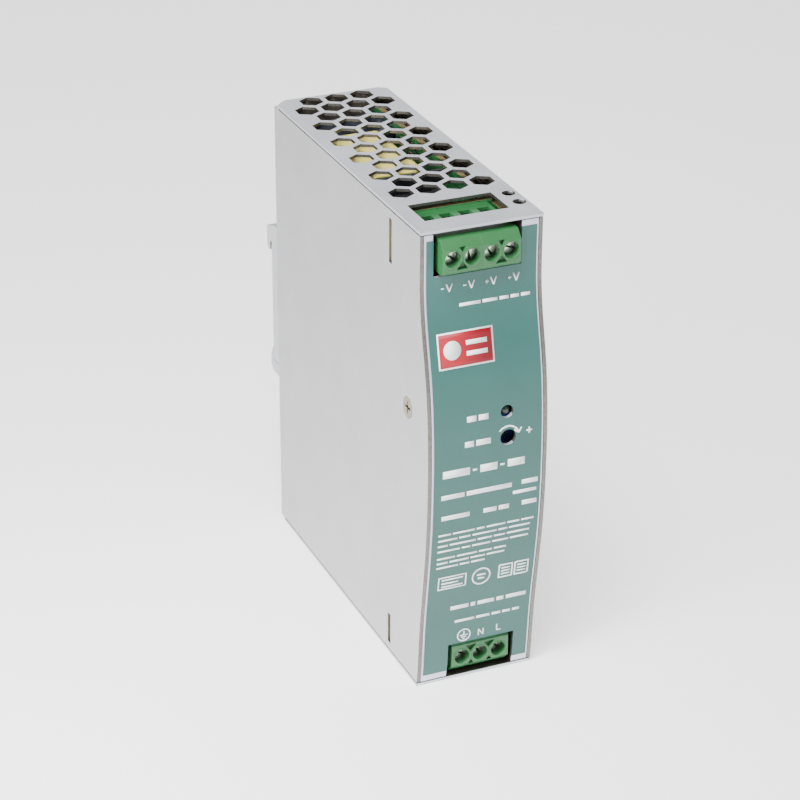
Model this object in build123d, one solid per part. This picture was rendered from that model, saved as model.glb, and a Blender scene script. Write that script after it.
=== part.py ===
from build123d import *
import math
import os

"""A slim switching power supply for a 35 mm DIN rail, in a folded aluminium case.

Millimetres. +X is to the right along the rail, -Y is the front with the terminal screws, +Z is up.
The origin is under the middle of the whole outline, on the plane of the bottom plate.
"""

# ---------------------------------------------------------------- driving dimensions

WIDTH = 32.0
HEIGHT = 125.2
BODY_DEPTH = 96.0        # flat part of the front to the rear edge of the side panels
BULGE = 6.0              # how far the curved front panel stands forward of its flat part
LABEL = 0.2
CLIP_DEPTH = 9.0         # rail clip, behind the side panels
CHASSIS_SHEET = 0.8
PANEL_SHEET = 1.0
BEND_RADIUS = 0.6
SEAM = 0.3               # open seam between the chassis plates and the panels

FRONT = (BULGE + LABEL - BODY_DEPTH - CLIP_DEPTH) / 2
BACK = FRONT + BODY_DEPTH
REAR_FACE = BACK + CHASSIS_SHEET
SIDE = WIDTH / 2
INNER_SIDE = SIDE - PANEL_SHEET
PANEL_BOTTOM = CHASSIS_SHEET + SEAM
PANEL_TOP = HEIGHT - CHASSIS_SHEET - SEAM

# Front outline, as height and distance forward of the flat plane, below the straight top.
FLAT_ABOVE = 113.0
FRONT_POINTS = [(88.0, 4.1), (64.0, BULGE), (39.0, 4.7), (16.0, 1.7), (0.0, 0.2)]

# Vents: staggered rows of three and four hexagons.
VENT_PITCH = 7.18
VENT_CORNER_RADIUS = 3.3
VENT_ROWS = 12
VENT_REAR_ROW = 92.7     # rearmost row, behind the front plane
VENT_CENTRE_X = 0.4

# Rear wall of the chassis, narrower than the plates.
WALL_LEFT = -12.7
WALL_RIGHT = 14.2
CORNER_CHAMFER = 3.3
CORNER_STEP = 2.2

# Openings for the terminals and the wires.
WINDOW_FRONT = 5.9
WINDOW_REAR = 16.4
DC_OPENING = (-12.6, 10.4)
DC_OPENING_BOTTOM = 113.0
AC_OPENING = (-7.8, 10.5)
AC_OPENING_TOP = 11.0
PLATE_HOLES = [(13.6, 14.3), (13.7, 8.4)]
PLATE_HOLE_RADIUS = 1.65

# Indicator and output voltage trimmer, behind the front panel.
LED_X, LED_Z = 5.0, 77.0
LED_HOLE_RADIUS = 1.7
TRIM_X, TRIM_Z = 5.3, 70.1
TRIM_HOLE_RADIUS = 2.1

# Terminal blocks.
PITCH = 5.08
BLOCK_HEIGHT = 8.8
FACE_BOTTOM = 0.8
FACE_TOP = 6.7
POLE_Z = 4.2
SCREW_HOLE_RADIUS = 2.0
SHOULDER = 4.6
CAVITY_FRONT = 6.2
CAVITY_HALF = 2.15
CAVITY_BOTTOM, CAVITY_TOP = 1.1, 7.7
ENTRY_Y = 15.0
ENTRY_HALF_X, ENTRY_HALF_Y = 1.6, 1.7
THREAD_RADIUS = 1.44
THREAD_BORE = 1.5
CLAMP_FRONT = 10.6
CLAMP_LENGTH = 7.0
CONTACT_Y = 12.35
BOARD_FRONT = 16.8       # front face of the two terminal boards, behind the front plane
BOARD = 1.6
DC_CENTRE_X = -1.2
DC_PROUD = 3.0           # output terminal face, forward of the flat front
DC_BLOCK_BOTTOM = 114.1
AC_CENTRE_X = 1.4
AC_PROUD = 1.0
AC_BLOCK_TOP = 10.6
AC_END_WALL = 0.7

# Main board, upright beside the right-hand panel.
MAIN_FACE = 10.4         # component side, facing -X
MAIN_FRONT, MAIN_REAR = 13.0, 93.6
MAIN_BOTTOM, MAIN_TOP = 2.6, 122.4
TONGUE_BOTTOM, TONGUE_TOP = 58.0, 90.0
STANDOFFS = [(22.5, 9.0), (90.0, 26.0), (22.5, 92.0), (89.8, 98.6)]

# Rail clip. The rail is 35 mm high, and 1 mm thick at its edges.
RAIL_HALF = 17.5
RAIL_Z = 65.0
RAIL_SLOT = 1.3
RAIL_SEAT = BACK + 5.4
CLIP_REAR = BACK + CLIP_DEPTH
CLIP_HALF = 15.5
CHANNEL_HALF = 8.2
CHANNEL_DEPTH = 3.0
RIVET_X = 10.9
SLIDE_PLAY = 0.3
LATCH_TRAVEL = 5.0
SPRING_TOP = 74.0

# Side screws into the front panel's lugs.
SIDE_SCREW_Y, SIDE_SCREW_Z = 6.65, 76.5
LUG_REAR = 11.0


# ---------------------------------------------------------------- helpers

def behind(depth):
    """The Y of a point that far behind the flat front plane."""
    return FRONT + depth


def block(x0, x1, y0, y1, z0, z1):
    """A box between two corners."""
    return Pos((x0 + x1) / 2, (y0 + y1) / 2, (z0 + z1) / 2) * Box(x1 - x0, y1 - y0, z1 - z0)


def rod_x(radius, x0, x1, y, z):
    """A cylinder along X."""
    return Pos((x0 + x1) / 2, y, z) * Rot(0, 90, 0) * Cylinder(radius, x1 - x0)


def rod_y(radius, x, y0, y1, z):
    """A cylinder along Y."""
    return Pos(x, (y0 + y1) / 2, z) * Rot(90, 0, 0) * Cylinder(radius, y1 - y0)


def rod_z(radius, x, y, z0, z1):
    """A cylinder along Z."""
    return Pos(x, y, (z0 + z1) / 2) * Cylinder(radius, z1 - z0)


def cone_x(outer, inner, x0, x1, y, z):
    """A cone along X, of radius outer at x0 and inner at x1."""
    return Pos((x0 + x1) / 2, y, z) * Rot(0, 90, 0) * Cone(outer, inner, abs(x1 - x0))


def side_profile(points, x0, x1):
    """A prism along X from an outline of (y, z) points."""
    outline = Polyline(*[(x0, y, z) for y, z in points], close=True)
    return extrude(make_face(outline), amount=x1 - x0, dir=(1, 0, 0))


def group(shapes):
    """Separate solids that share one node."""
    return Compound(children=list(shapes))


def save(name, shape):
    """Writes one sub-part."""
    export_step(shape, f"parts/{name}.step")


# ---------------------------------------------------------------- case

def front_line(offset=0.0):
    """The front outline from top to bottom, moved back by offset."""
    y = FRONT + offset
    straight = Line((0, y, HEIGHT), (0, y, FLAT_ABOVE))
    points = [(0, y, FLAT_ABOVE)] + [(0, y - forward, z) for z, forward in FRONT_POINTS]
    curve = Spline(*points, tangents=[(0, 0, -1), (0, 0.16, -1)])
    return straight, curve


def front_solid(outer, inner, half):
    """A curved plate between two offsets of the front outline."""
    top_out, curve_out = front_line(outer)
    top_in, curve_in = front_line(inner)
    ends = [
        Line(top_out @ 0, top_in @ 0),
        Line(curve_out @ 1, curve_in @ 1),
    ]
    face = make_face(Wire([top_out, curve_out, ends[1], curve_in, top_in, ends[0]]))
    return Pos(-half, 0, 0) * extrude(face, amount=2 * half, dir=(1, 0, 0))


def vents(z0, z1):
    """The hexagonal vent cutters of one plate."""
    cutters = []
    hexagon = Rot(0, 0, 30) * RegularPolygon(VENT_CORNER_RADIUS, 6)
    for row in range(VENT_ROWS):
        count = 3 + row % 2
        y = behind(VENT_REAR_ROW - row * VENT_PITCH * math.sqrt(3) / 2)
        for index in range(count):
            x = VENT_CENTRE_X + (index - (count - 1) / 2) * VENT_PITCH
            cutters.append(Pos(x, y, z0) * extrude(hexagon, amount=z1 - z0))
    return cutters


def chassis_plate(z0, z1, opening):
    """One horizontal plate of the chassis, with vents and a terminal window."""
    outline = Polyline(
        (-SIDE, behind(-SEAM)),
        (SIDE, behind(-SEAM)),
        (SIDE, BACK - CORNER_STEP + 1.0),
        (SIDE - 1.0, BACK - CORNER_STEP + 1.9),
        (WALL_RIGHT, BACK - CORNER_STEP + 1.9),
        (WALL_RIGHT, REAR_FACE),
        (WALL_LEFT, REAR_FACE),
        (-SIDE, REAR_FACE - CORNER_CHAMFER),
        close=True,
    )
    plate = Pos(0, 0, z0) * extrude(make_face(outline), amount=z1 - z0)
    for cutter in vents(z0 - 1, z1 + 1):
        plate -= cutter
    plate -= block(opening[0], opening[1], behind(WINDOW_FRONT), behind(WINDOW_REAR), z0 - 1, z1 + 1)
    return plate


def make_chassis():
    """Top plate, rear wall and bottom plate, folded from one sheet."""
    window_top = (DC_CENTRE_X - 11.0, DC_CENTRE_X + 11.0)
    top = chassis_plate(HEIGHT - CHASSIS_SHEET, HEIGHT, window_top)
    for x, y in PLATE_HOLES:
        top -= rod_z(PLATE_HOLE_RADIUS, x, behind(y), HEIGHT - 3, HEIGHT + 1)
    bottom = chassis_plate(0, CHASSIS_SHEET, (AC_CENTRE_X - 9.2, AC_CENTRE_X + 9.2))
    wall = block(WALL_LEFT, WALL_RIGHT, BACK, REAR_FACE, 0, HEIGHT)
    for x, z in clip_rivet_places() + panel_rivet_places():
        wall -= rod_y(1.5, x, BACK - 1, REAR_FACE + 1, z)
    body = top + wall + bottom
    bends = [
        edge
        for edge in body.edges().filter_by(Axis.X)
        if abs(edge.center().Y - REAR_FACE) < 0.01 and edge.length > 20
    ]
    return fillet(bends, BEND_RADIUS)


def clip_rivet_places():
    """Where the rail clip is riveted through the rear wall."""
    return [(x, z) for x in (-RIVET_X, RIVET_X) for z in (55.0, 75.5)]


def panel_rivet_places():
    """Where the side panels' flanges are riveted to the rear wall."""
    return [(x, z) for x in (-RIVET_X, RIVET_X) for z in (16.0, 108.0)]


def make_side_panel(side):
    """A side panel with its front edge on the curve and a flange along its rear edge."""
    core = front_solid(0, 60, SIDE) + block(-SIDE, SIDE, behind(50), BACK, 0, HEIGHT)
    outer, inner = side * SIDE, side * INNER_SIDE
    slab = block(min(outer, inner), max(outer, inner), behind(-10), BACK, PANEL_BOTTOM, PANEL_TOP)
    panel = core & slab
    flange_end = side * 8.8
    x0, x1 = min(outer, flange_end), max(outer, flange_end)
    panel += block(x0, x1, BACK - PANEL_SHEET, BACK, PANEL_BOTTOM, PANEL_TOP)
    for x, z in clip_rivet_places() + panel_rivet_places():
        panel -= rod_y(1.5, x, BACK - 3, BACK + 1, z)
    panel -= cone_x(*countersink(side, 0.1), behind(SIDE_SCREW_Y), SIDE_SCREW_Z)
    panel -= rod_x(1.6, min(outer, inner) - 1, max(outer, inner) + 1, behind(SIDE_SCREW_Y), SIDE_SCREW_Z)
    if side < 0:
        for z0, z1 in ((110.4, 122.0), (3.0, 11.6)):
            panel -= block(-SIDE - 1, -INNER_SIDE + 0.5, behind(16.7), behind(18.5), z0, z1)
    return panel


def countersink(side, extra):
    """Radii and ends of a countersunk cone on a side panel, ordered along X."""
    wide, narrow = 2.8 + extra, 1.45 + extra
    if side < 0:
        return wide, narrow, -SIDE, -INNER_SIDE
    return narrow, wide, INNER_SIDE, SIDE


def make_front_panel():
    """The curved front panel, with its terminal openings and side lugs."""
    half = INNER_SIDE - 0.1
    panel = front_solid(0, PANEL_SHEET, half)
    panel &= block(-half, half, behind(-20), behind(20), PANEL_BOTTOM, PANEL_TOP)
    reach = front_solid(0, 30, half)
    for side in (-1, 1):
        x0, x1 = sorted((side * half, side * (half - PANEL_SHEET)))
        panel += reach & block(x0, x1, behind(-20), behind(LUG_REAR), 70.0, 83.0)
    panel -= block(*DC_OPENING, behind(-20), behind(3), DC_OPENING_BOTTOM, HEIGHT)
    panel -= block(*AC_OPENING, behind(-20), behind(3), 0, AC_OPENING_TOP)
    panel -= rod_y(LED_HOLE_RADIUS, LED_X, behind(-20), behind(3), LED_Z)
    panel -= rod_y(TRIM_HOLE_RADIUS, TRIM_X, behind(-20), behind(3), TRIM_Z)
    panel -= rod_x(1.5, -SIDE, SIDE, behind(SIDE_SCREW_Y), SIDE_SCREW_Z)
    return panel


def make_front_label():
    """The printed film on the front panel."""
    half = SIDE - 1.6
    label = front_solid(-LABEL, 0, half)
    label &= block(-half, half, behind(-20), behind(20), 3.0, 122.5)
    label -= block(*DC_OPENING, behind(-20), behind(3), DC_OPENING_BOTTOM, HEIGHT)
    label -= block(*AC_OPENING, behind(-20), behind(3), 0, AC_OPENING_TOP)
    label -= rod_y(LED_HOLE_RADIUS, LED_X, behind(-20), behind(3), LED_Z)
    label -= rod_y(TRIM_HOLE_RADIUS, TRIM_X, behind(-20), behind(3), TRIM_Z)
    return label


def make_side_screws():
    """One countersunk screw through each side panel."""
    screws = []
    for side in (-1, 1):
        wide, narrow, x0, x1 = countersink(side, 0.0)
        y, z = behind(SIDE_SCREW_Y), SIDE_SCREW_Z
        screw = cone_x(wide, narrow, x0, x1, y, z)
        ends = sorted((side * SIDE, side * 12.3))
        screw += rod_x(1.45, ends[0], ends[1], y, z)
        outer = side * SIDE
        for length, width in ((3.2, 0.6), (0.6, 3.2)):
            recess = Pos(outer, y, z) * Box(1.4, length, width)
            screw -= recess
        screws.append(screw)
    return group(screws)


def make_lug_nuts():
    """Clinch nuts on the front panel's lugs."""
    nuts = []
    for side in (-1, 1):
        x0, x1 = sorted((side * 13.9, side * 12.3))
        nut = rod_x(2.75, x0, x1, behind(SIDE_SCREW_Y), SIDE_SCREW_Z)
        nut -= rod_x(1.5, x0 - 1, x1 + 1, behind(SIDE_SCREW_Y), SIDE_SCREW_Z)
        nuts.append(nut)
    return group(nuts)


def make_insulation_sheet():
    """Film between the solder side of the main board and the right panel."""
    sheet = block(14.0, 14.3, behind(19.5), behind(93.8), 3.0, 122.0)
    for y, z in STANDOFFS:
        sheet -= rod_x(3.4, 13, 16, behind(y), z)
    return sheet


# ---------------------------------------------------------------- rail clip

def make_clip_bracket():
    """The fixed half of the rail clip, with the upper hook and the latch's channel."""
    seat_top = RAIL_Z + RAIL_HALF + 0.4
    lip_front = RAIL_SEAT + RAIL_SLOT
    outline = [
        (REAR_FACE, RAIL_Z - RAIL_HALF + 0.2),
        (RAIL_SEAT, RAIL_Z - RAIL_HALF + 0.2),
        (RAIL_SEAT, seat_top),
        (lip_front, seat_top),
        (lip_front, seat_top - 2.6),
        (lip_front + 0.9, seat_top - 3.1),
        (CLIP_REAR, seat_top - 2.2),
        (CLIP_REAR, seat_top + 3.8),
        (CLIP_REAR - 6.5, seat_top + 5.9),
        (REAR_FACE, seat_top + 5.9),
    ]
    bracket = side_profile(outline, -CLIP_HALF, CLIP_HALF)
    channel_top = SPRING_TOP + 3.0
    bracket -= block(
        -CHANNEL_HALF, CHANNEL_HALF, REAR_FACE - 1, REAR_FACE + CHANNEL_DEPTH, 40, channel_top
    )
    bracket += block(-1.5, 1.5, REAR_FACE + SLIDE_PLAY, REAR_FACE + CHANNEL_DEPTH + 0.1, 52.3, 54.3)
    for x, z in clip_rivet_places():
        bracket -= rod_y(1.5, x, REAR_FACE - 1, RAIL_SEAT + 1, z)
        bracket -= rod_y(2.5, x, RAIL_SEAT - 1.1, RAIL_SEAT + 1, z)
    return bracket


def make_clip_latch():
    """The sliding foot: a plate in the channel, the lower hook and a pull tab."""
    y0 = REAR_FACE + SLIDE_PLAY
    y1 = REAR_FACE + CHANNEL_DEPTH - SLIDE_PLAY
    half = CHANNEL_HALF - SLIDE_PLAY
    latch = block(-half, half, y0, y1, 44.0, SPRING_TOP + 2.4)
    latch -= block(-1.7, 1.7, y0 - 1, y1 + 1, 52.0, SPRING_TOP)
    seat_bottom = RAIL_Z - RAIL_HALF - 0.5
    lip_front = RAIL_SEAT + RAIL_SLOT
    hook = [
        (y0, seat_bottom),
        (lip_front, seat_bottom),
        (lip_front, seat_bottom + 2.6),
        (lip_front + 0.7, seat_bottom + 3.4),
        (CLIP_REAR, seat_bottom + 0.6),
        (CLIP_REAR, seat_bottom - 2.6),
        (CLIP_REAR - 1.4, seat_bottom - 4.0),
        (y0, seat_bottom - 4.0),
    ]
    latch += side_profile(hook, -CLIP_HALF + 0.5, CLIP_HALF - 0.5)
    tab = block(-5.0, 5.0, y0, y1, 36.5, 44.0)
    tab -= block(-3.0, 3.0, y0 - 1, y1 + 1, 38.2, 40.2)
    return latch + tab


def make_latch_spring():
    """The compression spring that holds the latch up."""
    turns, wire = 9, 0.16
    z0, z1 = 54.3 + wire, SPRING_TOP - wire
    path = Helix(pitch=(z1 - z0) / turns, height=z1 - z0, radius=1.0)
    section = Plane(origin=path @ 0, z_dir=path % 0) * Circle(wire)
    spring = sweep(section, path=path)
    return Pos(0, REAR_FACE + CHANNEL_DEPTH / 2, z0) * spring


def make_rear_rivets():
    """Rivets through the rear wall and the side panels' flanges; four also hold the clip bracket."""
    rivets = []
    for places, seat, head in (
        (clip_rivet_places(), RAIL_SEAT - 1.1, 0.9),
        (panel_rivet_places(), REAR_FACE, 0.8),
    ):
        for x, z in places:
            rivet = rod_y(2.4, x, seat, seat + head, z)
            rivet += rod_y(1.46, x, BACK - PANEL_SHEET, seat, z)
            rivet += rod_y(2.2, x, BACK - PANEL_SHEET - 0.9, BACK - PANEL_SHEET, z)
            rivets.append(rivet)
    return group(rivets)


# ---------------------------------------------------------------- terminals
# A block's own frame: face at Y = 0, board at Y = depth, wires enter from +Z, Z = 0 is its far side.

def pole_places(poles):
    """X of each pole from the block's middle."""
    return [(index - (poles - 1) / 2) * PITCH for index in range(poles)]


def terminal_housing(poles, depth, end_wall=0.0):
    """The moulded housing of one terminal block."""
    half = (poles * PITCH + end_wall) / 2
    outline = [
        (0, FACE_BOTTOM),
        (0.9, 0),
        (depth, 0),
        (depth, BLOCK_HEIGHT),
        (BLOCK_HEIGHT - FACE_TOP, BLOCK_HEIGHT),
        (0, FACE_TOP),
    ]
    body = side_profile(outline, -half, half)
    for x in pole_places(poles):
        body -= rod_y(SCREW_HOLE_RADIUS, x, -1, SHOULDER, POLE_Z)
        body -= rod_y(THREAD_BORE, x, SHOULDER - 1, CAVITY_FRONT + 1, POLE_Z)
        body -= block(
            x - CAVITY_HALF, x + CAVITY_HALF, CAVITY_FRONT, depth + 1, CAVITY_BOTTOM, CAVITY_TOP
        )
        body -= block(
            x - ENTRY_HALF_X, x + ENTRY_HALF_X,
            ENTRY_Y - ENTRY_HALF_Y, ENTRY_Y + ENTRY_HALF_Y,
            CAVITY_TOP - 1, BLOCK_HEIGHT + 1,
        )
    for index in range(poles - 1):
        x = (index + 1 - poles / 2) * PITCH
        large = Polyline((x - 1.5, 0, 1.3), (x + 1.5, 0, 1.3), (x, 0, 3.3), close=True)
        small = Polyline((x - 0.9, 0, 7.0), (x + 0.9, 0, 7.0), (x, 0, 5.6), close=True)
        for triangle in (large, small):
            body -= extrude(make_face(triangle), amount=1.0, dir=(0, 1, 0))
    return body


def terminal_screw(x, turn):
    """A slotted clamp screw, with its slot turned by that many degrees."""
    head = rod_y(1.85, x, 2.4, SHOULDER, POLE_Z)
    shank = rod_y(THREAD_RADIUS, x, SHOULDER, CONTACT_Y - 0.15, POLE_Z)
    slot = Pos(x, 2.4, POLE_Z) * Rot(0, turn, 0) * Box(5.0, 2.0, 0.6)
    return head + shank - slot


def terminal_clamp(x):
    """A rising cage: a loop round the wire, threaded on the screw."""
    y0, y1 = CLAMP_FRONT, CLAMP_FRONT + CLAMP_LENGTH
    cage = block(x - 1.95, x + 1.95, y0, y1, 1.9, 6.7)
    cage -= block(x - 1.5, x + 1.5, y0 + 1.6, y1 - 0.8, 0, 9)
    cage -= rod_y(THREAD_BORE, x, y0 - 1, y0 + 2, POLE_Z)
    return cage


def terminal_contact(x, depth):
    """A fixed contact: an upright tab in the cage and a leg through the board."""
    tab = block(x - 1.3, x + 1.3, CONTACT_Y, CONTACT_Y + 0.8, 1.15, 7.3)
    leg = block(x - 0.6, x + 0.6, CONTACT_Y, depth + BOARD + 1.5, 1.15, 1.6)
    return tab + leg


def place_dc(shape, centre_x=DC_CENTRE_X):
    """Puts a block's piece at the output terminals, wires from above."""
    return Pos(centre_x, behind(-DC_PROUD), DC_BLOCK_BOTTOM) * shape


def place_ac(shape):
    """Puts a block's piece at the input terminals, wires from below."""
    return Pos(AC_CENTRE_X, behind(-AC_PROUD), AC_BLOCK_TOP) * Rot(0, 180, 0) * shape


DC_DEPTH = DC_PROUD + BOARD_FRONT
AC_DEPTH = AC_PROUD + BOARD_FRONT
DC_POLES = pole_places(4)
AC_POLES = pole_places(3)[::-1]
DC_TURNS = [38, 82, 55, 20]
AC_TURNS = [30, 64, 48]


def write_terminals():
    """Housings, screws, clamps and contacts of both terminals."""
    for name, side in (("left", -1), ("right", 1)):
        housing = terminal_housing(2, DC_DEPTH)
        save(f"dc_terminal_{name}", place_dc(housing, DC_CENTRE_X + side * PITCH))
    save("ac_terminal", place_ac(terminal_housing(3, AC_DEPTH, AC_END_WALL)))
    for index, (x, turn) in enumerate(zip(DC_POLES, DC_TURNS), 1):
        save(f"dc_screw_{index}", place_dc(terminal_screw(x, turn)))
        save(f"dc_clamp_{index}", place_dc(terminal_clamp(x)))
    for index, (x, turn) in enumerate(zip(AC_POLES, AC_TURNS), 1):
        save(f"ac_screw_{index}", place_ac(terminal_screw(x, turn)))
        save(f"ac_clamp_{index}", place_ac(terminal_clamp(x)))
    save("dc_contacts", group(place_dc(terminal_contact(x, DC_DEPTH)) for x in DC_POLES))
    save("ac_contacts", group(place_ac(terminal_contact(x, AC_DEPTH)) for x in AC_POLES))


# ---------------------------------------------------------------- boards

def leg_slot(x, z):
    """The hole in a terminal board for one contact's leg."""
    y0, y1 = behind(BOARD_FRONT - 1), behind(BOARD_FRONT + BOARD + 1)
    return block(x - 0.7, x + 0.7, y0, y1, z - 0.35, z + 0.35)


def make_output_board():
    """The board behind the output terminals, with a tab in the left panel's slot."""
    y0, y1 = behind(BOARD_FRONT), behind(BOARD_FRONT + BOARD)
    board = block(-14.6, MAIN_FACE, y0, y1, 100.0, 123.3)
    board += block(-15.5, -14.0, y0, y1, 110.9, 121.5)
    for x in DC_POLES:
        board -= leg_slot(DC_CENTRE_X + x, DC_BLOCK_BOTTOM + 1.375)
    return board


def make_input_board():
    """The board behind the input terminals, with a tab in the left panel's slot."""
    y0, y1 = behind(BOARD_FRONT), behind(BOARD_FRONT + BOARD)
    board = block(-14.6, MAIN_FACE, y0, y1, 2.0, 22.0)
    board += block(-15.5, -14.0, y0, y1, 3.5, 11.1)
    for x in AC_POLES:
        board -= leg_slot(AC_CENTRE_X - x, AC_BLOCK_TOP - 1.375)
    return board


def make_main_board():
    """The main board, with a tongue that carries the indicator and the trimmer."""
    x0, x1 = MAIN_FACE, MAIN_FACE + BOARD
    board = block(x0, x1, behind(MAIN_FRONT), behind(MAIN_REAR), MAIN_BOTTOM, MAIN_TOP)
    board += block(x0, x1, behind(-1.0), behind(MAIN_FRONT + 1), TONGUE_BOTTOM, TONGUE_TOP)
    for y, z in STANDOFFS:
        board -= rod_x(1.6, x0 - 1, x1 + 1, behind(y), z)
    return board


def make_board_standoffs():
    """Spacers clinched in the right panel."""
    spacers = []
    for y, z in STANDOFFS:
        spacer = rod_x(3.0, MAIN_FACE + BOARD, INNER_SIDE, behind(y), z)
        spacer -= rod_x(1.5, MAIN_FACE, 14.6, behind(y), z)
        spacers.append(spacer)
    return group(spacers)


def make_board_screws():
    """Pan-head screws that hold the main board."""
    screws = []
    for y, z in STANDOFFS:
        screw = rod_x(2.7, MAIN_FACE - 1.9, MAIN_FACE, behind(y), z)
        screw += rod_x(1.45, MAIN_FACE, 14.4, behind(y), z)
        for length, width in ((3.2, 0.7), (0.7, 3.2)):
            screw -= Pos(MAIN_FACE - 1.9, behind(y), z) * Box(2.0, length, width)
        screws.append(screw)
    return group(screws)


# ---------------------------------------------------------------- front controls

def make_status_led():
    """A 3 mm lamp on two bent legs."""
    lamp = rod_y(1.45, LED_X, behind(-3.8), behind(0), LED_Z)
    lamp += Pos(LED_X, behind(-3.8), LED_Z) * Sphere(1.45)
    lamp += rod_y(1.85, LED_X, behind(-0.6), behind(0.4), LED_Z)
    for dz in (-0.9, 0.9):
        bottom, top = LED_Z + dz - 0.25, LED_Z + dz + 0.25
        lamp += block(LED_X - 0.25, LED_X + 0.25, behind(0.2), behind(4.0), bottom, top)
        lamp += block(LED_X - 0.25, MAIN_FACE, behind(3.5), behind(4.0), bottom, top)
    return lamp


def make_trimmer_body():
    """The trimmer's case, standing on the main board."""
    body = block(0.9, MAIN_FACE, behind(-1.6), behind(3.2), TRIM_Z - 4.4, TRIM_Z + 4.4)
    body -= rod_y(1.7, TRIM_X, behind(-3), behind(0.4), TRIM_Z)
    return body


def make_trimmer_rotor():
    """The slotted rotor, turned with a screwdriver through the front."""
    rotor = rod_y(1.64, TRIM_X, behind(-2.6), behind(0.3), TRIM_Z)
    rotor -= Pos(TRIM_X, behind(-2.6), TRIM_Z) * Rot(0, 40, 0) * Box(4.0, 1.6, 0.6)
    return rotor


# ---------------------------------------------------------------- electronics
# Places are (depth behind the front plane, height).

TRANSFORMER_Y, TRANSFORMER_Z = 60.5, 110.4
TRANSFORMER_X = -1.8
CORE_LENGTH, CORE_THICK = 41.2, 11.0
CORE_END = 4.2
BOBBIN_HALF = CORE_LENGTH / 2 - CORE_END - 0.2
CHEEK = 1.0
OUTPUT_CHOKE = (83.8, 87.8)
OUTPUT_CAPS = [(86.3, 116.6), (86.3, 105.8), (27.5, 113.6), (27.5, 102.6)]


def can(radius, height, y, z, groove=1.6):
    """An electrolytic can standing on the main board, with a rolled groove at its foot."""
    body = rod_x(radius, MAIN_FACE - height, MAIN_FACE, behind(y), z)
    ring = rod_x(radius + 1, MAIN_FACE - groove - 1.0, MAIN_FACE - groove, behind(y), z)
    ring -= rod_x(radius - 0.4, MAIN_FACE - groove - 2, MAIN_FACE, behind(y), z)
    return body - ring


def make_transformer_core():
    """Two ferrite E halves round the bobbin."""
    y0, y1 = behind(TRANSFORMER_Y - CORE_LENGTH / 2), behind(TRANSFORMER_Y + CORE_LENGTH / 2)
    z0, z1 = TRANSFORMER_Z - CORE_THICK / 2, TRANSFORMER_Z + CORE_THICK / 2
    core = block(TRANSFORMER_X - 12.0, TRANSFORMER_X + 12.0, y0, y1, z0, z1)
    for side in (-1, 1):
        near, far = sorted((TRANSFORMER_X + side * 3.8, TRANSFORMER_X + side * 8.6))
        core -= block(near, far, y0 + CORE_END, y1 - CORE_END, z0 - 1, z1 + 1)
    return core


def make_transformer_bobbin():
    """The bobbin's tube, its two cheeks and the pin rail."""
    y0, y1 = behind(TRANSFORMER_Y - BOBBIN_HALF), behind(TRANSFORMER_Y + BOBBIN_HALF)
    x0, x1 = TRANSFORMER_X - 8.4, TRANSFORMER_X + 8.4
    cheeks = block(x0, x1, y0, y1, TRANSFORMER_Z - 10.6, TRANSFORMER_Z + 10.6)
    cheeks -= block(x0 - 1, x1 + 1, y0 + CHEEK, y1 - CHEEK, 0, HEIGHT)
    half_x, half_z = 4.9, CORE_THICK / 2 + 1.1
    tube = block(
        TRANSFORMER_X - half_x, TRANSFORMER_X + half_x, y0, y1, TRANSFORMER_Z - half_z, TRANSFORMER_Z + half_z
    )
    bobbin = cheeks + tube
    for y in (y0, y1 - CHEEK):
        for foot in (-10.6, 6.2):
            z = TRANSFORMER_Z + foot
            bobbin += block(x1 - 0.5, MAIN_FACE, y, y + CHEEK, z, z + 4.4)
    bobbin -= block(
        TRANSFORMER_X - 3.8, TRANSFORMER_X + 3.8, y0 - 1, y1 + 1,
        TRANSFORMER_Z - CORE_THICK / 2, TRANSFORMER_Z + CORE_THICK / 2,
    )
    return bobbin


def make_transformer_winding():
    """The taped winding on the bobbin."""
    half = BOBBIN_HALF - CHEEK
    y0, y1 = behind(TRANSFORMER_Y - half), behind(TRANSFORMER_Y + half)
    coil = block(
        TRANSFORMER_X - 8.2, TRANSFORMER_X + 8.2, y0, y1, TRANSFORMER_Z - 11.0, TRANSFORMER_Z + 11.0
    )
    coil = fillet(coil.edges().filter_by(Axis.Y), 2.6)
    coil -= block(
        TRANSFORMER_X - 4.9, TRANSFORMER_X + 4.9, y0 - 1, y1 + 1,
        TRANSFORMER_Z - CORE_THICK / 2 - 1.1, TRANSFORMER_Z + CORE_THICK / 2 + 1.1,
    )
    return coil


def make_output_capacitors():
    """Four low-voltage electrolytic cans."""
    return group(can(5.0, 20.0, y, z) for y, z in OUTPUT_CAPS)


def make_bulk_capacitor():
    """The mains reservoir can, lying along the case."""
    y, x = behind(81.5), -1.0
    body = rod_z(9.5, x, y, 40.0, 76.0)
    ring = rod_z(11.0, x, y, 42.2, 43.4) - rod_z(9.0, x, y, 42.0, 44.0)
    for dy in (-2.5, 2.5):
        body += block(x - 0.4, MAIN_FACE, y + dy - 0.4, y + dy + 0.4, 38.6, 39.4)
        body += block(x - 0.4, x + 0.4, y + dy - 0.4, y + dy + 0.4, 38.6, 40.5)
    return body - ring


def toroid(radius, hole, x0, x1, y, z):
    """A ring core with its axis along X."""
    ring = rod_x(radius, x0, x1, behind(y), z) - rod_x(hole, x0 - 1, x1 + 1, behind(y), z)
    return fillet(ring.edges().filter_by(GeomType.CIRCLE), 0.8)


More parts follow.
